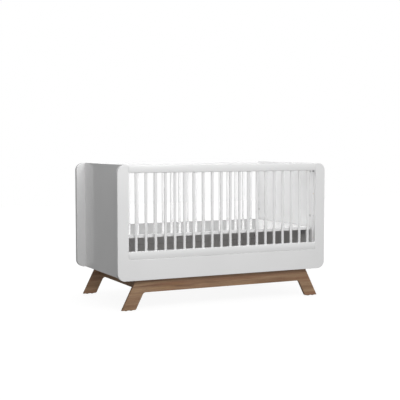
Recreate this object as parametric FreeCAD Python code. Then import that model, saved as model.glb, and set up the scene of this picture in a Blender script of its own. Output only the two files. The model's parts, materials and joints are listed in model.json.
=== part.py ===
import FreeCAD, Part
import os
from FreeCAD import Vector

os.makedirs("parts", exist_ok=True)

# A free-standing baby crib: two long side boards with barred openings, two
# closed end panels, a mattress base that bolts at one of three heights and
# two splayed leg frames. Millimetres, +Z up, origin on the floor under the
# middle of the crib, front side at -Y.

# Overall sizes
crib_length = 1486.0
crib_width = 800.0
board_height = 707.0
board_underside = 187.0

# Side boards
board_thickness = 30.0
board_corner_radius = 50.0
board_edge_radius = 2.0
stile_width = 73.0
apron_height = 130.0

# Barred barriers that fill the openings of the side boards
rail_height = 49.0
rail_back_step = 2.0
rail_crown = 3.0
rail_front_radius = 4.0
rail_back_radius = 4.0
rail_end_gap = 0.5
slat_count = 20
slat_end_gap = 44.5
slat_width = 16.0
slat_thickness = 12.0
slat_edge_radius = 3.0
slat_housing = 10.0
housing_gap = 0.2

# End panels
end_panel_thickness = 18.0
end_panel_inset = 60.0
end_panel_edge_radius = 1.0

# Mattress base and its brackets
base_rise = 280.0
base_thickness = 20.0
base_end_gap = 3.0
base_side_gap = 2.0
base_corner_radius = 20.0
base_edge_radius = 1.5
batten_width = 60.0
batten_height = 20.0
batten_end_inset = 60.0
batten_offset = 120.0
bracket_width = 60.0
bracket_leg = 40.0
bracket_thickness = 3.0
bracket_bend_radius = 1.5
bracket_gap = 0.3
bracket_inset = 118.0
bracket_screw_spacing = 36.0
level_count = 3
level_pitch = 87.0
level_bolt_drop = 18.0

# Leg frames and the rails that tie them
frame_thickness = 20.0
frame_lap = 40.0
beam_depth = 79.5
leg_splay = 0.503
leg_width = 91.0
foot_inset = 36.0
leg_fillet_radius = 22.0
foot_corner_radius = 13.0
frame_edge_radius = 1.0
tie_thickness = 20.0
tie_setback = 6.0
tie_drop = 62.0
tie_top_inset = 10.0
glide_radius = 8.0
glide_height = 3.0
glide_rim_radius = 1.0
glide_offsets = (28.0, 62.0)

# Corner plates between leg frames and tie rails
plate_leg = 30.0
plate_height = 50.0
plate_thickness = 3.0
plate_screw_spacing = 28.0

# Fasteners
bolt_radius = 3.0
bolt_head_radius = 6.0
bolt_head_height = 4.0
bolt_socket_radius = 2.0
bolt_socket_depth = 2.5
bolt_hole_gap = 0.3
insert_radius = 5.0
insert_length = 12.0
insert_gap = 0.1
frame_bolt_inset = 93.0
frame_bolt_engagement = 10.0
screw_radius = 2.0
screw_head_radius = 4.0
screw_head_height = 2.5
screw_length = 14.0
screw_gap = 0.1
cam_radius = 7.5
cam_height = 12.5
cam_gap = 0.1
cam_slot_length = 10.5
cam_slot_width = 2.5
cam_slot_depth = 2.0
cam_distance = 26.0
cam_end_distance = 55.0
stud_radius = 3.5
stud_axis_depth = 8.0
stud_embed = 12.0
stud_gap = 0.15
stud_overlap = 4.0
stud_end_gap = 0.5
dowel_radius = 4.0
dowel_gap = 0.1
dowel_end_gap = 0.5
dowel_shallow = 12.0
dowel_deep = 22.0
tie_dowel_spacing = 45.0

# Overshoot of a cutting tool, and how close two points count as the same
cut_spare = 1.0
tolerance = 1e-3

FRONT = -1
BACK = 1
LEFT = -1
RIGHT = 1

board_top = board_underside + board_height
half_length = crib_length / 2
half_width = crib_width / 2
opening_half = half_length - stile_width
opening_bottom = board_underside + apron_height
panel_outer = half_length - end_panel_inset
panel_inner = panel_outer - end_panel_thickness
rail_half = opening_half - rail_end_gap
rail_thickness = board_thickness - rail_back_step
slat_setback = (rail_thickness - slat_thickness) / 2
slat_pitch = (2 * (opening_half - slat_end_gap) - slat_width) / (slat_count - 1)
base_top = board_underside + base_rise
base_half_width = half_width - board_thickness - base_side_gap
bracket_offset = base_half_width - bracket_inset
frame_top = board_underside + frame_lap
beam_bottom = board_underside - beam_depth
cam_levels = (cam_end_distance, board_height / 2, board_height - cam_end_distance)


def depth_y(side, depth):
    """Y of a plane that lies depth inside the outer face of a side board."""
    return side * (half_width - depth)


def block(x_pair, y_pair, z_pair):
    """Box between two values on each axis, given in any order."""
    low = Vector(min(x_pair), min(y_pair), min(z_pair))
    high = Vector(max(x_pair), max(y_pair), max(z_pair))
    size = high - low
    return Part.makeBox(size.x, size.y, size.z, low)


def rod(radius, start, end):
    """Cylinder between two points."""
    start = Vector(*start)
    end = Vector(*end)
    return Part.makeCylinder(radius, (end - start).Length, start, end - start)


def edges_along(shape, direction, keep):
    """Straight edges parallel to a direction whose middle passes a test."""
    direction = Vector(*direction)
    found = []
    for edge in shape.Edges:
        start = edge.Vertexes[0].Point
        end = edge.Vertexes[-1].Point
        along = end - start
        if along.Length < tolerance:
            continue
        if abs(along.normalize().dot(direction)) > 0.999 and keep((start + end) / 2):
            found.append(edge)
    return found


def edges_at_depth(shape, y):
    """Every edge that lies in the plane at y."""
    return [
        edge
        for edge in shape.Edges
        if abs(edge.BoundBox.YMin - y) < tolerance and abs(edge.BoundBox.YMax - y) < tolerance
    ]


def rounded(shape, radius, edges):
    return shape.makeFillet(radius, edges)


def outline_prism(points, y_pair):
    """Solid with a straight-sided outline in XZ between two values of Y."""
    y_low = min(y_pair)
    corners = [Vector(x, y_low, z) for x, z in points]
    face = Part.Face(Part.makePolygon(corners + corners[:1]))
    return face.extrude(Vector(0, max(y_pair) - y_low, 0))


def ring_of(outer_radius, inner_radius, start, end):
    return rod(outer_radius, start, end).cut(rod(inner_radius, start, end))


def save(name, shapes):
    """Write one solid, or a group of separate solids, as one sub-part."""
    solids = shapes if isinstance(shapes, list) else [shapes]
    shape = Part.makeCompound(solids) if len(solids) > 1 else solids[0]
    shape.exportStep("parts/" + name + ".step")


# Fasteners ------------------------------------------------------------------


def socket_bolt(seat, direction, length):
    """Round-headed bolt with a socket; seat is under its head."""
    seat = Vector(*seat)
    direction = Vector(*direction)
    head_end = seat - direction * bolt_head_height
    head = rod(bolt_head_radius, head_end, seat)
    socket = rod(bolt_socket_radius, head_end, head_end + direction * bolt_socket_depth)
    shank = rod(bolt_radius, seat, seat + direction * length)
    return head.cut(socket).fuse(shank)


def wood_screw(seat, direction, length):
    """Pan-head screw with a pointed end; seat is under its head."""
    seat = Vector(*seat)
    direction = Vector(*direction)
    head = rod(screw_head_radius, seat - direction * screw_head_height, seat)
    tip_start = seat + direction * (length - screw_radius)
    shank = rod(screw_radius, seat, tip_start)
    tip = Part.makeCone(screw_radius, 0, screw_radius, tip_start, direction)
    return head.fuse([shank, tip])


def cam_lock(mouth, direction, stud_direction):
    """Round cam in a blind pocket; mouth is the centre of its visible end."""
    mouth = Vector(*mouth)
    direction = Vector(*direction)
    stud_direction = Vector(*stud_direction)
    body = rod(cam_radius, mouth, mouth + direction * cam_height)
    across = direction.cross(stud_direction)
    half_slot = cam_slot_length / 2
    for arm in (stud_direction, across):
        side = direction.cross(arm)
        start = mouth - arm * half_slot - side * (cam_slot_width / 2)
        corner = start + arm * (2 * half_slot) + side * cam_slot_width
        corner = corner + direction * cam_slot_depth
        slot = block((start.x, corner.x), (start.y, corner.y), (start.z, corner.z))
        body = body.cut(slot)
    axis = mouth + direction * stud_axis_depth
    bore_start = axis + stud_direction * (cam_radius + cut_spare)
    bore_end = axis + stud_direction * (stud_overlap - stud_end_gap)
    return body.cut(rod(stud_radius + stud_gap, bore_start, bore_end))


# Side boards ----------------------------------------------------------------


def cam_places(end):
    """Cam centres on an end panel's inner face, with the board they pull on."""
    x = end * panel_inner
    places = []
    for side in (FRONT, BACK):
        y = depth_y(side, board_thickness + cam_distance)
        for level in cam_levels:
            places.append((side, Vector(x, y, board_underside + level)))
    return places


def panel_stud_ends(end):
    """Both ends of each stud between an end panel and a side board."""
    x = end * (panel_inner + stud_axis_depth)
    spans = []
    for side, mouth in cam_places(end):
        outer = Vector(x, depth_y(side, board_thickness - stud_embed), mouth.z)
        inner = Vector(x, mouth.y + side * stud_overlap, mouth.z)
        spans.append((side, outer, inner))
    return spans


def panel_dowel_ends(end, spare=0.0):
    x = end * (panel_inner + end_panel_thickness / 2)
    spans = []
    for side in (FRONT, BACK):
        for lower, upper in zip(cam_levels, cam_levels[1:]):
            z = board_underside + (lower + upper) / 2
            outer = Vector(x, depth_y(side, board_thickness - dowel_shallow - spare), z)
            inner = Vector(x, depth_y(side, board_thickness + dowel_deep + spare), z)
            spans.append((side, outer, inner))
    return spans


def leg_outer_x(z):
    return half_length - foot_inset - leg_splay * z


def leg_inner_x(z):
    return leg_outer_x(z) - leg_width


def frame_bolt_centres(side):
    """Four evenly spaced bolts where a leg frame laps behind its side board."""
    y = depth_y(side, board_thickness)
    z = board_underside + frame_lap / 2
    last = leg_outer_x(frame_top) - frame_bolt_inset
    return [Vector(share * last, y, z) for share in (-1, -1 / 3, 1 / 3, 1)]


def rail_middles():
    """Heights of the middles of the bottom and top rails."""
    return (opening_bottom + rail_height / 2, board_top - rail_height / 2)


def rail_stud_y(side):
    return depth_y(side, rail_thickness - stud_axis_depth)


def side_board(side):
    faces = (depth_y(side, 0), depth_y(side, board_thickness))
    board = block((-half_length, half_length), faces, (board_underside, board_top))
    corners = edges_along(board, (0, 1, 0), lambda middle: True)
    board = rounded(board, board_corner_radius, corners)
    window = block((-opening_half, opening_half), faces, (opening_bottom, board_top + cut_spare))
    board = board.cut(window)
    outline = edges_at_depth(board, faces[0]) + edges_at_depth(board, faces[1])
    board = rounded(board, board_edge_radius, outline)
    holes = []
    for end in (LEFT, RIGHT):
        for stud_side, outer, inner in panel_stud_ends(end):
            if stud_side == side:
                holes.append(rod(stud_radius + stud_gap, outer, inner))
        for dowel_side, outer, inner in panel_dowel_ends(end, dowel_end_gap):
            if dowel_side == side:
                holes.append(rod(dowel_radius + dowel_gap, outer, inner))
        for z in rail_middles():
            start = (end * opening_half, rail_stud_y(side), z)
            stop = (end * (opening_half + insert_length), rail_stud_y(side), z)
            radius = insert_radius + insert_gap / 2 if side == FRONT else stud_radius + stud_gap
            holes.append(rod(radius, start, stop))
    for centre in frame_bolt_centres(side):
        bottom = centre + Vector(0, side * insert_length, 0)
        holes.append(rod(insert_radius + insert_gap / 2, centre, bottom))
    return board.cut(holes)


# Barriers -------------------------------------------------------------------


def slat_centres():
    first = -(slat_count - 1) * slat_pitch / 2
    return [first + number * slat_pitch for number in range(slat_count)]


def slat_solid(side, x, spare):
    """Slat from housing to housing; spare widens it into its housings."""
    depths = (slat_setback - spare, slat_setback + slat_thickness + spare)
    half = slat_width / 2 + spare
    bottom = opening_bottom + rail_height - slat_housing
    top = board_top - rail_height + slat_housing
    faces = (depth_y(side, depths[0]), depth_y(side, depths[1]))
    slat = block((x - half, x + half), faces, (bottom, top))
    uprights = edges_along(slat, (0, 0, 1), lambda middle: True)
    return rounded(slat, slat_edge_radius + spare, uprights)


def crowned_bar(side, bottom):
    """Bar with a front that bows out by rail_crown at mid-height."""
    middle = bottom + rail_height / 2
    top = bottom + rail_height
    shoulder = depth_y(side, rail_crown)
    back = depth_y(side, rail_thickness)
    corners = [(shoulder, top), (back, top), (back, bottom), (shoulder, bottom)]
    corners = [Vector(-rail_half, y, z) for y, z in corners]
    nose = Vector(-rail_half, depth_y(side, 0), middle)
    crown = Part.Arc(corners[-1], nose, corners[0]).toShape()
    outline = Part.Wire(Part.makePolygon(corners).Edges + [crown])
    bar = Part.Face(outline).extrude(Vector(2 * rail_half, 0, 0))
    for y, radius in ((shoulder, rail_front_radius), (back, rail_back_radius)):
        long_edges = edges_along(bar, (1, 0, 0), lambda point: abs(point.y - y) < tolerance)
        bar = rounded(bar, radius, long_edges)
    return bar


def rail(side, bottom):
    """Rail with housings for the slats and a cam at each end."""
    back = depth_y(side, rail_thickness)
    bar = crowned_bar(side, bottom)
    cuts = [slat_solid(side, x, housing_gap) for x in slat_centres()]
    middle = bottom + rail_height / 2
    for end in (LEFT, RIGHT):
        mouth = Vector(end * (rail_half - cam_distance), back, middle)
        cuts.append(rod(cam_radius + cam_gap, mouth, mouth + Vector(0, side * cam_height, 0)))
        stud_start = Vector(end * rail_half, rail_stud_y(side), middle)
        stud_end = Vector(mouth.x, rail_stud_y(side), middle)
        cuts.append(rod(stud_radius + stud_gap, stud_start, stud_end))
    return bar.cut(cuts)


def rail_cams(side):
    cams = []
    for z in rail_middles():
        for end in (LEFT, RIGHT):
            mouth = (end * (rail_half - cam_distance), depth_y(side, rail_thickness), z)
            cams.append(cam_lock(mouth, (0, side, 0), (end, 0, 0)))
    return cams


def rail_studs(side, reach):
    """Studs from the rail cams to reach, a distance from the crib's middle."""
    studs = []
    for z in rail_middles():
        for end in (LEFT, RIGHT):
            start = (end * (rail_half - cam_distance + stud_overlap), rail_stud_y(side), z)
            studs.append(rod(stud_radius, start, (end * reach, rail_stud_y(side), z)))
    return studs


def stile_sleeves():
    sleeves = []
    for z in rail_middles():
        for end in (LEFT, RIGHT):
            start = (end * opening_half, rail_stud_y(FRONT), z)
            stop = (end * (opening_half + insert_length), rail_stud_y(FRONT), z)
            sleeves.append(ring_of(insert_radius, stud_radius + stud_gap, start, stop))
    return sleeves


# End panels -----------------------------------------------------------------


def level_bolt_height(level):
    """Height of a row of level bolts; level 0 is the top one."""
    return base_top - base_thickness - level_bolt_drop - level * level_pitch


def level_insert_centres(end):
    centres = []
    for level in range(level_count):
        for y in (-bracket_offset, bracket_offset):
            centres.append(Vector(end * panel_inner, y, level_bolt_height(level)))
    return centres


def end_panel(end):
    inner_depth = (depth_y(FRONT, board_thickness), depth_y(BACK, board_thickness))
    faces = (end * panel_inner, end * panel_outer)
    panel = block(faces, inner_depth, (board_underside, board_top))
    long_edges = edges_along(panel, (0, 1, 0), lambda middle: True)
    panel = rounded(panel, end_panel_edge_radius, long_edges)
    holes = []
    for side, mouth in cam_places(end):
        holes.append(rod(cam_radius + cam_gap, mouth, mouth + Vector(end * cam_height, 0, 0)))
    for side, outer, inner in panel_stud_ends(end):
        centre = Vector(outer.x, depth_y(side, board_thickness + cam_distance), outer.z)
        holes.append(rod(stud_radius + stud_gap, outer, centre))
    for side, outer, inner in panel_dowel_ends(end, dowel_end_gap):
        holes.append(rod(dowel_radius + dowel_gap, outer, inner))
    for centre in level_insert_centres(end):
        bottom = centre + Vector(end * insert_length, 0, 0)
        holes.append(rod(insert_radius + insert_gap / 2, centre, bottom))
    return panel.cut(holes)


def panel_cams():
    cams = []
    for end in (LEFT, RIGHT):
        for side, mouth in cam_places(end):
            cams.append(cam_lock(mouth, (end, 0, 0), (0, side, 0)))
    return cams


def panel_studs():
    ends = panel_stud_ends(LEFT) + panel_stud_ends(RIGHT)
    return [rod(stud_radius, outer, inner) for side, outer, inner in ends]


def level_inserts():
    inserts = []
    for end in (LEFT, RIGHT):
        for centre in level_insert_centres(end):
            bottom = centre + Vector(end * insert_length, 0, 0)
            inserts.append(ring_of(insert_radius, bolt_radius + insert_gap, centre, bottom))
    return inserts


# Mattress base --------------------------------------------------------------

base_underside = base_top - base_thickness
bracket_face = panel_inner - bracket_gap
bracket_inner_face = bracket_face - bracket_thickness


def bracket_screw_seats(end, y):
    """Under-head points of the two screws that hold a bracket to the base."""
    x = end * (bracket_face - bracket_leg / 2)
    z = base_underside - bracket_thickness
    half = bracket_screw_spacing / 2
    return [Vector(x, y + step, z) for step in (-half, half)]


def bracket_places():
    return [(end, side * bracket_offset) for end in (LEFT, RIGHT) for side in (FRONT, BACK)]


def mattress_base():
    half_x = panel_inner - base_end_gap
    y_pair = (-base_half_width, base_half_width)
    board = block((-half_x, half_x), y_pair, (base_underside, base_top))
    board = rounded(board, base_corner_radius, edges_along(board, (0, 0, 1), lambda middle: True))
    rims = [edge for edge in board.Edges if edge.BoundBox.ZLength < tolerance]
    board = rounded(board, base_edge_radius, rims)
    holes = []
    for end, y in bracket_places():
        for seat in bracket_screw_seats(end, y):
            top = seat + Vector(0, 0, screw_length + screw_gap)
            holes.append(rod(screw_radius + screw_gap, seat, top))
    return board.cut(holes)


def base_batten(side):
    half_x = panel_inner - base_end_gap - batten_end_inset
    middle = side * batten_offset
    y_pair = (middle - batten_width / 2, middle + batten_width / 2)
    batten = block((-half_x, half_x), y_pair, (base_underside - batten_height, base_underside))
    lower = edges_along(
        batten, (1, 0, 0), lambda point: point.z < base_underside - batten_height / 2
    )
    return rounded(batten, base_edge_radius, lower)


def base_bracket(end, y):
    """Angle bracket: one leg under the base, one against the end panel."""
    y_pair = (y - bracket_width / 2, y + bracket_width / 2)
    flat = block(
        (end * bracket_face, end * (bracket_face - bracket_leg)),
        y_pair,
        (base_underside, base_underside - bracket_thickness),
    )
    upright = block(
        (end * bracket_face, end * bracket_inner_face),
        y_pair,
        (base_underside, base_underside - bracket_leg),
    )
    bracket = flat.fuse(upright).removeSplitter()
    bend = edges_along(
        bracket,
        (0, 1, 0),
        lambda point: abs(point.z - base_underside) < tolerance
        and abs(abs(point.x) - bracket_face) < tolerance,
    )
    bracket = rounded(bracket, bracket_bend_radius, bend)
    holes = []
    for seat in bracket_screw_seats(end, y):
        holes.append(rod(screw_radius + screw_gap, seat, seat + Vector(0, 0, bracket_thickness)))
    bolt_z = level_bolt_height(0)
    start = (end * bracket_inner_face, y, bolt_z)
    holes.append(rod(bolt_radius + bolt_hole_gap, start, (end * bracket_face, y, bolt_z)))
    return bracket.cut(holes)


def bracket_screws():
    screws = []
    for end, y in bracket_places():
        for seat in bracket_screw_seats(end, y):
            screws.append(wood_screw(seat, (0, 0, 1), screw_length))
    return screws


def level_bolts():
    """Bolts that pass through the brackets, drawn up to the end panel's face."""
    bolts = []
    for end, y in bracket_places():
        seat = (end * bracket_inner_face, y, level_bolt_height(0))
        bolts.append(socket_bolt(seat, (end, 0, 0), bracket_thickness))
    return bolts


# Leg frames -----------------------------------------------------------------


def frame_outline():
    """Right half of a leg frame's outline, from the floor end inwards."""
    return [
        (leg_outer_x(frame_top), frame_top),
        (leg_outer_x(glide_height), glide_height),
        (leg_inner_x(glide_height), glide_height),
        (leg_inner_x(beam_bottom), beam_bottom),
    ]


def leg_frame(side):
    """Beam and two splayed legs cut from one board."""
    right = frame_outline()
    left = [(-x, z) for x, z in reversed(right)]
    faces = (depth_y(side, board_thickness), depth_y(side, board_thickness + frame_thickness))
    frame = outline_prism(right + left, faces)

    for height, radius in ((beam_bottom, leg_fillet_radius), (glide_height, foot_corner_radius)):
        x = leg_inner_x(height)
        corners = edges_along(
            frame,
            (0, 1, 0),
            lambda point: abs(point.z - height) < tolerance and abs(abs(point.x) - x) < tolerance,
        )
        frame = rounded(frame, radius, corners)
    arrises = edges_at_depth(frame, faces[0]) + edges_at_depth(frame, faces[1])
    frame = rounded(frame, frame_edge_radius, arrises)
    holes = []
    for centre in frame_bolt_centres(side):
        back = Vector(centre.x, faces[1], centre.z)
        holes.append(rod(bolt_radius + bolt_hole_gap, centre, back))
    for end in (LEFT, RIGHT):
        for seat in plate_screw_seats(end, side, "frame"):
            tip = seat + Vector(0, side * (screw_length + screw_gap), 0)
            holes.append(rod(screw_radius + screw_gap, seat, tip))
        for outer, inner in tie_dowel_ends(end, side, dowel_end_gap):
            holes.append(rod(dowel_radius + dowel_gap, outer, inner))
    return frame.cut(holes)


# Tie rails between the leg frames

tie_bottom = board_underside - tie_drop
tie_top = frame_top - tie_top_inset
tie_middle = (tie_bottom + tie_top) / 2
tie_outer = leg_outer_x(tie_top) - tie_setback
tie_inner = tie_outer - tie_thickness
tie_end_depth = board_thickness + frame_thickness


def tie_dowel_ends(end, side, spare=0.0):
    x = end * (tie_outer - tie_thickness / 2)
    half = tie_dowel_spacing / 2
    spans = []
    for z in (tie_middle - half, tie_middle + half):
        outer = Vector(x, depth_y(side, tie_end_depth - dowel_shallow - spare), z)
        inner = Vector(x, depth_y(side, tie_end_depth + dowel_deep + spare), z)
        spans.append((outer, inner))
    return spans


def tie_rail(end):
    y_pair = (depth_y(FRONT, tie_end_depth), depth_y(BACK, tie_end_depth))
    bar = block((end * tie_outer, end * tie_inner), y_pair, (tie_bottom, tie_top))
    bar = rounded(bar, frame_edge_radius, edges_along(bar, (0, 1, 0), lambda middle: True))
    holes = []
    for side in (FRONT, BACK):
        for outer, inner in tie_dowel_ends(end, side, dowel_end_gap):
            holes.append(rod(dowel_radius + dowel_gap, outer, inner))
        for seat in plate_screw_seats(end, side, "tie"):
            tip = seat + Vector(end * (screw_length + screw_gap), 0, 0)
            holes.append(rod(screw_radius + screw_gap, seat, tip))
    return bar.cut(holes)


def plate_screw_seats(end, side, half_name):
    """Under-head points of a corner plate's screws on one of its halves."""
    half = plate_screw_spacing / 2
    middle = (plate_leg + plate_thickness) / 2
    seats = []
    for z in (tie_middle - half, tie_middle + half):
        if half_name == "frame":
            x = end * (tie_inner - middle)
            y = depth_y(side, tie_end_depth + plate_thickness)
        else:
            x = end * (tie_inner - plate_thickness)
            y = depth_y(side, tie_end_depth + middle)
        seats.append(Vector(x, y, z))
    return seats


def corner_plate(end, side):
    z_pair = (tie_middle - plate_height / 2, tie_middle + plate_height / 2)
    near = depth_y(side, tie_end_depth)
    on_frame = block(
        (end * tie_inner, end * (tie_inner - plate_leg)),
        (near, depth_y(side, tie_end_depth + plate_thickness)),
        z_pair,
    )
    on_tie = block(
        (end * tie_inner, end * (tie_inner - plate_thickness)),
        (near, depth_y(side, tie_end_depth + plate_leg)),
        z_pair,
    )
    plate = on_frame.fuse(on_tie).removeSplitter()
    holes = []
    for seat in plate_screw_seats(end, side, "frame"):
        through = seat + Vector(0, side * plate_thickness, 0)
        holes.append(rod(screw_radius + screw_gap, seat, through))
    for seat in plate_screw_seats(end, side, "tie"):
        through = seat + Vector(end * plate_thickness, 0, 0)
        holes.append(rod(screw_radius + screw_gap, seat, through))
    return plate.cut(holes)


def plate_screws():
    screws = []
    for end in (LEFT, RIGHT):
        for side in (FRONT, BACK):
            for seat in plate_screw_seats(end, side, "frame"):
                screws.append(wood_screw(seat, (0, side, 0), screw_length))
            for seat in plate_screw_seats(end, side, "tie"):
                screws.append(wood_screw(seat, (end, 0, 0), screw_length))
    return screws


def frame_bolts():
    bolts = []
    for side in (FRONT, BACK):
        for centre in frame_bolt_centres(side):
            seat = (centre.x, depth_y(side, board_thickness + frame_thickness), centre.z)
            length = frame_thickness + frame_bolt_engagement
            bolts.append(socket_bolt(seat, (0, side, 0), length))
    return bolts


def frame_inserts():
    inserts = []
    for side in (FRONT, BACK):
        for centre in frame_bolt_centres(side):
            bottom = centre + Vector(0, side * insert_length, 0)
            inserts.append(ring_of(insert_radius, bolt_radius + insert_gap, centre, bottom))
    return inserts


def foot_glides():
    glides = []
    y_depth = board_thickness + frame_thickness / 2
    for side in (FRONT, BACK):
        for end in (LEFT, RIGHT):
            for offset in glide_offsets:
                x = end * (leg_inner_x(glide_height) + offset)
                y = depth_y(side, y_depth)
                glide = rod(glide_radius, (x, y, 0), (x, y, glide_height))
                low_rim = [edge for edge in glide.Edges if edge.BoundBox.ZMax < tolerance]
                glides.append(rounded(glide, glide_rim_radius, low_rim))
    return glides


def dowels():
    pins = []
    for end in (LEFT, RIGHT):
        for side, outer, inner in panel_dowel_ends(end):
            pins.append(rod(dowel_radius, outer, inner))
        for side in (FRONT, BACK):
            for outer, inner in tie_dowel_ends(end, side):
                pins.append(rod(dowel_radius, outer, inner))
    return pins


# Write every sub-part -------------------------------------------------------

side_names = {FRONT: "front", BACK: "back"}
end_names = {LEFT: "left", RIGHT: "right"}

for side, side_name in side_names.items():
    save(side_name + "_board", side_board(side))
    save(side_name + "_bottom_rail", rail(side, opening_bottom))
    save(side_name + "_top_rail", rail(side, board_top - rail_height))
    save(side_name + "_leg_frame", leg_frame(side))
    save(side_name + "_base_batten", base_batten(side))

for number, x in enumerate(slat_centres(), start=1):
    save("front_slat_%02d" % number, slat_solid(FRONT, x, 0.0))
save("back_slats", [slat_solid(BACK, x, 0.0) for x in slat_centres()])

for end, end_name in end_names.items():
    save(end_name + "_end_panel", end_panel(end))
    save(end_name + "_tie_rail", tie_rail(end))
    for side, side_name in side_names.items():
        place = side_name + "_" + end_name
        save(place + "_base_bracket", base_bracket(end, side * bracket_offset))
        save(place + "_corner_plate", corner_plate(end, side))

save("mattress_base", mattress_base())
save("bracket_screws", bracket_screws())
save("level_bolts", level_bolts())
save("level_inserts", level_inserts())
save("corner_plate_screws", plate_screws())
save("frame_bolts", frame_bolts())
save("frame_inserts", frame_inserts())
save("foot_glides", foot_glides())
save("dowels", dowels())
save("cam_locks", panel_cams() + rail_cams(BACK))
save("cam_studs", panel_studs() + rail_studs(BACK, opening_half + stud_embed - stud_gap))
save("front_rail_cams", rail_cams(FRONT))
save("front_rail_studs", rail_studs(FRONT, rail_half))
save("stile_sleeves", stile_sleeves())
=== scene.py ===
import bpy
import bmesh
import json
import math
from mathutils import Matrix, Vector


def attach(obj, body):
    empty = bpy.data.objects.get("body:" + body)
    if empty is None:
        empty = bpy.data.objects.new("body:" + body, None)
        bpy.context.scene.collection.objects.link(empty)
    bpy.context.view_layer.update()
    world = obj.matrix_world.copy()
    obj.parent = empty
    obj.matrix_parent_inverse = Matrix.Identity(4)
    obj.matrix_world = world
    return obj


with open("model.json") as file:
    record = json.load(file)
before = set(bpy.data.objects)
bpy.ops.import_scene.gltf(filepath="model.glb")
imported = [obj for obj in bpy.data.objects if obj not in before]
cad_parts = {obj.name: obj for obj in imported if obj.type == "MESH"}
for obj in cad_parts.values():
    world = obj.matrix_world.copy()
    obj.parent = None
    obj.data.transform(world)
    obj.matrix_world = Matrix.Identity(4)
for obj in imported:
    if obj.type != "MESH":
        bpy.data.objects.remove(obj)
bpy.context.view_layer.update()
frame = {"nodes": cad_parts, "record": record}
nodes = frame["nodes"]
slots = {row["node"]: row["material_slot"] for row in frame["record"]["subparts"]}

# Camera: a short telephoto lens to the front left, a little above the rails
CAMERA_PLACE = (-2.668, -5.443, 1.009)
CAMERA_TURN = 26.16     # degrees from straight ahead towards the right
CAMERA_DROP = 3.45      # degrees below the horizon
CAMERA_LENS = 80.73     # millimetres, on a 36 mm sensor
CAMERA_NEAR = 0.1       # nothing closer than this, in metres, is seen

# Room light: an even part, and a glow from the front that fades to ROOM_LOW of
# itself where the direction sinks from ROOM_FADE_TOP to ROOM_FADE_END
ROOM_EVEN = 0.165
ROOM_FRONT = 0.66
ROOM_LOW = 0.35
ROOM_FADE_TOP = 0.1
ROOM_FADE_END = -0.3
FRONT_WAY = (0.0, -0.95, 0.30)

# Lamps: name, place, point aimed at, size in metres, watts, and whether glossy
# surfaces mirror it
LAMPS = [
    ("overhead", (0, 0, 2.3), (0, 0, 0), (1.3, 0.7), 14, False),
    ("behind_top", (0, 0.8, 2.2), (0, 0.2, 0.4), (1.3, 0.6), 9, False),
    ("front", (-0.3, -2.6, 2.2), (0, -0.4, 0.6), (2.6, 1.6), 39, True),
    ("left", (-2.0, -0.3, 2.3), (-0.7, 0, 0.7), (1.4, 1.4), 6, True),
    ("back", (2.0, 4.5, 2.6), (0, 0, 0.5), (2.5, 2.0), 100, False),
]

# Floor: its glow rises from one value to another between two distances, in
# metres, from the middle of the crib; the dimmer glow near the crib is painted shade around it
FLOOR_HALF = 9.0
FLOOR_DARK = (100, 100, 100)
FLOOR_PALE = (104, 104, 104)
FLOOR_GLOW_WITH_PAINTED_SHADE = (0.90, 1.0)
FLOOR_PAINTED_SHADE_FROM = (1.0, 5.0)

# Walnut: ramp from dark to pale, then the colours laid over it
WALNUT_TONES = [
    (0.30, (121, 90, 65)),
    (0.44, (147, 115, 87)),
    (0.56, (161, 130, 101)),
    (0.70, (177, 146, 114)),
]
WALNUT_RED = (150, 102, 76)
WALNUT_OCHRE = (166, 126, 80)
WALNUT_LINE = (98, 70, 52)
WALNUT_PORE = (78, 55, 41)

# Faces that meet at less than this angle, in degrees, are shaded as one
SMOOTH_ANGLE = 32.0

# Cover caps of the cams, in metres; the profile gives shares of the radius and
# of the rise, from the rim in
CAP_RADIUS = 0.0088
CAP_RISE = 0.0013
CAP_SIDES = 48
CAP_PROFILE = [
    (1.0, 0.0),
    (1.0, 0.45),
    (0.97, 0.75),
    (0.91, 0.94),
    (0.84, 1.0),
    (0.77, 0.94),
    (0.70, 0.75),
    (0.4, 0.68),
    (0.08, 0.66),
]

# Corners closer than this, in metres, count as one
WELD = 1e-6

# Sockets of a mix node that mixes colours
MIX_FACTOR = 0
MIX_FIRST = 6
MIX_SECOND = 7
MIX_RESULT = 2


def srgb(red, green, blue):
    """Linear colour of a colour given as 0 to 255 on a screen."""

    def linear(value):
        value /= 255
        return value / 12.92 if value <= 0.04045 else ((value + 0.055) / 1.055) ** 2.4

    return (linear(red), linear(green), linear(blue), 1.0)


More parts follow.
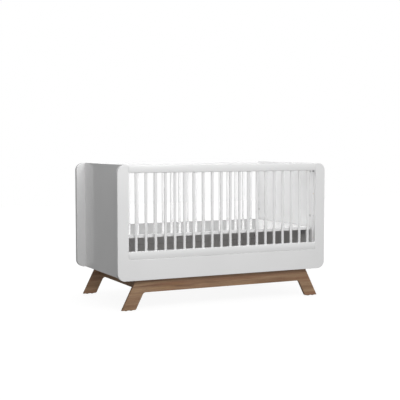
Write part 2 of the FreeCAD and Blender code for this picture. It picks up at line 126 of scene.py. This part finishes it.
class Shader:
    """A material's node tree, with short ways to add and join nodes."""

    def __init__(self, name):
        self.material = bpy.data.materials.new(name)
        self.material.use_nodes = True
        self.tree = self.material.node_tree
        self.principled = self.tree.nodes["Principled BSDF"]

    def add(self, kind, **inputs):
        """New node of a kind; an input's name has _ where the socket has a space."""
        node = self.tree.nodes.new("ShaderNode" + kind)
        for key, value in inputs.items():
            self.set(node, key.replace("_", " "), value)
        return node

    def set(self, node, socket, value):
        """Joins another node's output to the socket, or sets its own value."""
        if isinstance(value, bpy.types.NodeSocket):
            self.tree.links.new(value, node.inputs[socket])
        else:
            node.inputs[socket].default_value = value

    def place(self, stretch=(1, 1, 1)):
        """Coordinates in metres on the piece, divided by the size of a feature."""
        coordinates = self.add("TexCoord")
        mapping = self.add("Mapping", Vector=coordinates.outputs["Object"])
        mapping.inputs["Scale"].default_value = [1 / size for size in stretch]
        return mapping.outputs["Vector"]

    def noise(self, where, detail, scale=1.0, roughness=0.5, distortion=0.0):
        node = self.add("TexNoise", Vector=where, Scale=scale, Detail=detail)
        self.set(node, "Roughness", roughness)
        self.set(node, "Distortion", distortion)
        return node.outputs["Fac"]

    def ramp(self, factor, stops, smooth=False):
        node = self.add("ValToRGB", Fac=factor)
        if smooth:
            node.color_ramp.interpolation = "EASE"
        elements = node.color_ramp.elements
        while len(elements) < len(stops):
            elements.new(0.5)
        for element, (position, colour) in zip(elements, stops):
            element.position = position
            element.color = colour
        return node.outputs["Color"]

    def grade(self, factor, low, high, start=0.0, end=1.0):
        """Maps a factor between start and end to a value between low and high."""
        node = self.add("MapRange", Value=factor, From_Min=start, From_Max=end, To_Min=low, To_Max=high)
        return node.outputs["Result"]

    def mix(self, factor, first, second):
        """Colour that goes from the first to the second as the factor rises."""
        node = self.add("Mix")
        node.data_type = "RGBA"
        self.set(node, MIX_FACTOR, factor)
        self.set(node, MIX_FIRST, first)
        self.set(node, MIX_SECOND, second)
        return node.outputs[MIX_RESULT]

    def bump(self, height, distance, strength, under=None):
        node = self.add("Bump", Height=height, Distance=distance, Strength=strength)
        if under is not None:
            self.set(node, "Normal", under)
        return node.outputs["Normal"]

    def surface(self, **inputs):
        for key, value in inputs.items():
            self.set(self.principled, key.replace("_", " "), value)
        return self.material


def white_lacquer(name, roughness, tint=(238, 238, 238), peel=0.00003):
    """Sprayed white lacquer: faint mottling, orange peel and uneven gloss."""
    shader = Shader(name)
    here = shader.place()
    broad = shader.noise(here, scale=3.0, detail=2.0)
    fine = shader.noise(here, scale=260.0, detail=2.0)
    darker = srgb(*[value - 3 for value in tint])
    colour = shader.ramp(broad, [(0.3, darker), (0.7, srgb(*tint))], smooth=True)
    cloud = shader.noise(here, scale=14.0, detail=4.0)
    gloss = shader.grade(cloud, low=roughness * 0.85, high=roughness * 1.2)
    normal = shader.bump(fine, distance=peel, strength=0.6)
    return shader.surface(Base_Color=colour, Roughness=gloss, Normal=normal)


def walnut(name, grain):
    """Walnut foil: long streaks, red and ochre drifts, dark lines and pores."""
    shader = Shader(name)

    def streaks(length, thickness, detail, distortion=0.0):
        sizes = {"x": (length, thickness, thickness), "y": (thickness, length, thickness)}[grain]
        where = shader.place(stretch=sizes)
        return shader.noise(where, detail=detail, roughness=0.6, distortion=distortion)

    stops = [(position, srgb(*colour)) for position, colour in WALNUT_TONES]
    tone = shader.ramp(streaks(0.45, 0.022, detail=6.0, distortion=0.5), stops)
    red = shader.grade(streaks(0.8, 0.05, detail=2.0), 0.0, 0.5, start=0.50, end=0.68)
    tone = shader.mix(red, tone, srgb(*WALNUT_RED))
    ochre = shader.grade(streaks(0.5, 0.035, detail=3.0), 0.0, 0.5, start=0.54, end=0.70)
    tone = shader.mix(ochre, tone, srgb(*WALNUT_OCHRE))
    lines = streaks(0.22, 0.004, detail=3.0, distortion=0.3)
    line_share = shader.grade(lines, 0.0, 0.45, start=0.56, end=0.72)
    tone = shader.mix(line_share, tone, srgb(*WALNUT_LINE))
    pores = streaks(0.025, 0.0011, detail=1.0)
    pore_share = shader.grade(pores, 0.0, 0.55, start=0.62, end=0.72)
    tone = shader.mix(pore_share, tone, srgb(*WALNUT_PORE))
    gloss = shader.grade(lines, 0.40, 0.56, start=0.35, end=0.65)
    normal = shader.bump(pores, distance=0.0001, strength=0.4)
    normal = shader.bump(lines, distance=0.0002, strength=0.3, under=normal)
    return shader.surface(Base_Color=tone, Roughness=gloss, Normal=normal)


def metal(name, colour, roughness):
    """Plated metal with a faint cloudy tarnish and fine scuffs."""
    shader = Shader(name)
    here = shader.place()
    cloud = shader.noise(here, scale=60.0, detail=4.0)
    tarnish = 0.72
    dark = [value * tarnish for value in colour[:3]] + [1.0]
    tone = shader.ramp(cloud, [(0.35, dark), (0.65, colour)])
    scuffs = shader.noise(here, scale=400.0, detail=3.0)
    gloss = shader.grade(scuffs, low=roughness * 0.7, high=roughness * 1.4)
    normal = shader.bump(cloud, distance=0.00005, strength=0.4)
    return shader.surface(Base_Color=tone, Roughness=gloss, Normal=normal, Metallic=1.0)


def raw_beech(name):
    """Unfinished beech of the dowels, with a fine grain along them."""
    shader = Shader(name)
    here = shader.place(stretch=(0.01, 0.06, 0.01))
    grain = shader.noise(here, scale=3.0, detail=4.0)
    tone = shader.ramp(grain, [(0.35, srgb(196, 158, 112)), (0.65, srgb(224, 190, 146))])
    normal = shader.bump(grain, distance=0.0001, strength=0.4)
    return shader.surface(Base_Color=tone, Roughness=0.62, Normal=normal)


def dark_nylon(name):
    """Brown nylon of the glides, with a fine moulded grain."""
    shader = Shader(name)
    grain = shader.noise(shader.place(), scale=900.0, detail=2.0)
    tone = shader.ramp(grain, [(0.3, srgb(96, 82, 70)), (0.7, srgb(110, 96, 82))])
    normal = shader.bump(grain, distance=0.0001, strength=0.5)
    return shader.surface(Base_Color=tone, Roughness=0.5, Normal=normal)


def cap_plastic():
    """Moulded white plastic, a little greyer than the lacquer around it."""
    shader = Shader("cap_plastic")
    grain = shader.noise(shader.place(), scale=1500.0, detail=2.0)
    tone = shader.ramp(grain, [(0.3, srgb(190, 190, 189)), (0.7, srgb(198, 198, 197))])
    normal = shader.bump(grain, distance=0.00003, strength=0.4)
    return shader.surface(Base_Color=tone, Roughness=0.38, Normal=normal)


def dress_frame():
    """Gives every CAD node its material and smooth shading on curved faces."""
    materials = {
        "white_lacquer": white_lacquer("white_lacquer", roughness=0.13),
        "white_laminate": white_lacquer(
            "white_laminate", roughness=0.05, tint=(237, 237, 237), peel=0.00001
        ),
        "walnut": walnut("walnut_along", grain="x"),
        "zinc_steel": metal("zinc_steel", srgb(222, 223, 226), roughness=0.50),
        "brass": metal("brass", srgb(206, 172, 104), roughness=0.30),
        "beech": raw_beech("beech"),
        "glide_plastic": dark_nylon("glide_plastic"),
    }
    across = walnut("walnut_across", grain="y")
    for name, node in nodes.items():
        material = across if name.endswith("tie_rail") else materials[slots[name]]
        node.data.materials.clear()
        node.data.materials.append(material)
        node.data.shade_smooth()
        node.data.set_sharp_from_angle(angle=math.radians(SMOOTH_ANGLE))


def islands(node):
    """Lowest and highest corners of each separate solid of a CAD node."""
    mesh = bmesh.new()
    mesh.from_mesh(node.data)
    bmesh.ops.remove_doubles(mesh, verts=mesh.verts, dist=WELD)
    taken = set()
    boxes = []
    for first in mesh.verts:
        if first in taken:
            continue
        taken.add(first)
        group = [first]
        for vertex in group:
            for edge in vertex.link_edges:
                other = edge.other_vert(vertex)
                if other not in taken:
                    taken.add(other)
                    group.append(other)
        low = Vector([min(vertex.co[axis] for vertex in group) for axis in range(3)])
        high = Vector([max(vertex.co[axis] for vertex in group) for axis in range(3)])
        boxes.append((low, high))
    mesh.free()
    return boxes


def cap_mouth(low, high):
    """Centre of a cam's visible end, and the way that it faces, inwards."""
    middle = (low + high) / 2
    axis = min(range(3), key=lambda index: high[index] - low[index])
    way = Vector((0, 0, 0))
    way[axis] = -math.copysign(1, middle[axis])
    middle[axis] = high[axis] if way[axis] > 0 else low[axis]
    return middle, way


def cover_caps(name, mouths, body):
    """Push-in caps over the cams: a domed rim around a shallow dish."""
    rings = [(radius * CAP_RADIUS, rise * CAP_RISE) for radius, rise in CAP_PROFILE]
    vertices = []
    faces = []
    for centre, way in mouths:
        turn = way.to_track_quat("Z", "Y")
        start = len(vertices)
        for radius, rise in rings:
            for step in range(CAP_SIDES):
                angle = math.tau * step / CAP_SIDES
                point = Vector((radius * math.cos(angle), radius * math.sin(angle), rise))
                vertices.append(centre + turn @ point)
        for ring in range(len(rings) - 1):
            for step in range(CAP_SIDES):
                after = (step + 1) % CAP_SIDES
                low = start + ring * CAP_SIDES
                faces.append((low + step, low + after, low + CAP_SIDES + after, low + CAP_SIDES + step))
        last = start + (len(rings) - 1) * CAP_SIDES
        faces.append(tuple(last + step for step in range(CAP_SIDES)))
        faces.append(tuple(start + step for step in reversed(range(CAP_SIDES))))
    mesh = bpy.data.meshes.new(name)
    mesh.from_pydata(vertices, [], faces)
    mesh.shade_smooth()
    mesh.set_sharp_from_angle(angle=math.radians(SMOOTH_ANGLE))
    caps = bpy.data.objects.new(name, mesh)
    bpy.context.scene.collection.objects.link(caps)
    mesh.materials.append(bpy.data.materials["cap_plastic"])
    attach(caps, body)


def make_caps():
    """Caps over every cam: a piece for each panel and for each side's rails."""
    cap_plastic()
    places = {"left_panel_caps": [], "right_panel_caps": [], "back_rail_caps": []}
    for low, high in islands(nodes["cam_locks"]):
        mouth, way = cap_mouth(low, high)
        if way.y:
            places["back_rail_caps"].append((mouth, way))
        elif mouth.x < 0:
            places["left_panel_caps"].append((mouth, way))
        else:
            places["right_panel_caps"].append((mouth, way))
    for name, mouths in places.items():
        cover_caps(name, mouths, "crib_frame")
    front = [cap_mouth(low, high) for low, high in islands(nodes["front_rail_cams"])]
    cover_caps("front_rail_caps", front, "front_barrier")


def make_floor():
    """White studio floor that glows, dimmer near the crib as painted shade, and keeps only a faint cast
    shadow under the feet.
    """
    half = FLOOR_HALF
    mesh = bpy.data.meshes.new("floor")
    corners = [(-half, -half, 0), (half, -half, 0), (half, half, 0), (-half, half, 0)]
    mesh.from_pydata(corners, [], [(0, 1, 2, 3)])
    floor = bpy.data.objects.new("floor", mesh)
    bpy.context.scene.collection.objects.link(floor)
    shader = Shader("floor")
    here = shader.place()
    cloud = shader.noise(here, scale=0.8, detail=2.0)
    tone = shader.ramp(cloud, [(0.3, srgb(*FLOOR_DARK)), (0.7, srgb(*FLOOR_PALE))])
    away = shader.add("VectorMath", Vector=here)
    away.operation = "LENGTH"
    # Glow dimmer near the middle of the crib: painted shade on the floor around it
    glow = shader.grade(away.outputs["Value"], *FLOOR_GLOW_WITH_PAINTED_SHADE, *FLOOR_PAINTED_SHADE_FROM)
    shader.surface(Base_Color=tone, Roughness=0.9, Emission_Color=(1, 1, 1, 1), Emission_Strength=glow)
    mesh.materials.append(shader.material)
    floor.visible_diffuse = False
    floor.visible_glossy = False


def make_world():
    """White to the eye; as a light, a room that glows from the front."""
    world = bpy.data.worlds.new("room")
    world.use_nodes = True
    tree = world.node_tree
    tree.nodes.clear()

    def add(kind, *inputs, **settings):
        node = tree.nodes.new("ShaderNode" + kind)
        for key, value in settings.items():
            setattr(node, key, value)
        for socket, value in zip(node.inputs, inputs):
            if isinstance(value, bpy.types.NodeSocket):
                tree.links.new(value, socket)
            else:
                socket.default_value = value
        return node

    direction = add("TexCoord").outputs["Generated"]
    facing = add("VectorMath", direction, FRONT_WAY, operation="DOT_PRODUCT").outputs["Value"]
    lobe = add("Math", facing, 0.0, operation="MAXIMUM").outputs[0]
    height = add("SeparateXYZ", direction).outputs["Z"]
    fade = add("MapRange", height, ROOM_FADE_END, ROOM_FADE_TOP, ROOM_LOW, 1.0)
    share = fade.outputs["Result"]
    front = add("Math", lobe, share, operation="MULTIPLY").outputs[0]
    glow = add("Math", front, ROOM_FRONT, ROOM_EVEN, operation="MULTIPLY_ADD").outputs[0]
    room = add("Background", (1, 1, 1, 1), glow)
    seen = add("Background", (1, 1, 1, 1), 1.0)
    to_eye = add("LightPath").outputs["Is Camera Ray"]
    choice = add("MixShader", to_eye, room.outputs[0], seen.outputs[0])
    add("OutputWorld", choice.outputs[0])
    bpy.context.scene.world = world


def area_light(name, place, target, size, power, mirrored):
    light = bpy.data.lights.new(name, "AREA")
    light.shape = "RECTANGLE"
    light.size, light.size_y = size
    light.energy = power
    lamp = bpy.data.objects.new(name, light)
    lamp.location = place
    lamp.rotation_euler = (Vector(target) - Vector(place)).to_track_quat("-Z", "Y").to_euler()
    lamp.visible_camera = False
    lamp.visible_glossy = mirrored
    bpy.context.scene.collection.objects.link(lamp)


def make_camera():
    data = bpy.data.cameras.new("camera")
    data.lens = CAMERA_LENS
    data.clip_start = CAMERA_NEAR
    camera = bpy.data.objects.new("camera", data)
    camera.location = CAMERA_PLACE
    camera.rotation_euler = (math.radians(90 - CAMERA_DROP), 0, -math.radians(CAMERA_TURN))
    bpy.context.scene.collection.objects.link(camera)
    bpy.context.scene.camera = camera


make_camera()
make_world()
for lamp_row in LAMPS:
    area_light(*lamp_row)
make_floor()
dress_frame()
make_caps()

bpy.context.scene.view_settings.view_transform = "Standard"
